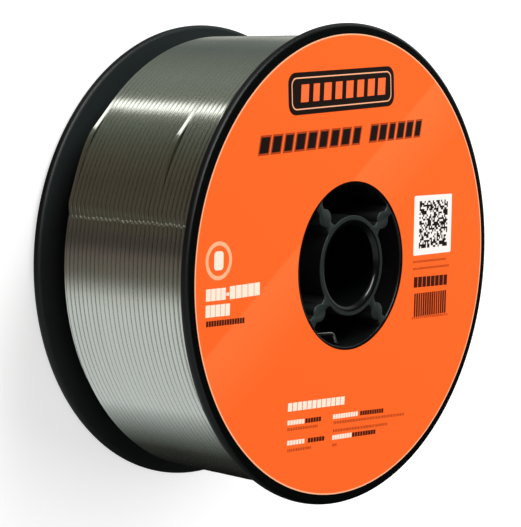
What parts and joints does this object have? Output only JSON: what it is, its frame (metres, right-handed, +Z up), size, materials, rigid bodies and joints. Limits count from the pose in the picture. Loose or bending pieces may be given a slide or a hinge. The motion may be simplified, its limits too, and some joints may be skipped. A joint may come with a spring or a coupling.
{
  "type": "welding wire spool",
  "caption": "Small black moulded spool of flux-cored welding wire, wound full, with a round paper label on one flange and a bore for the feeder's spindle.",
  "frame": {"origin": "centre of the bore, half-way between the outer faces of the flanges", "axes": "+Z up along the spool's axis, out of the labelled face; +Y towards the top of the label's print. The spool rests on its back flange at z = -0.0215"},
  "size_m": [0.1, 0.1, 0.0431],
  "materials": {
    "spool": "black moulded plastic, satin",
    "wire": "drawn flux-cored steel wire, clean and bright",
    "label": "coated paper label, orange print"
  },
  "bodies": {
    "root": {"spool": "spool", "wire_coil": "wire", "label": "label"}
  },
  "joints": []
}
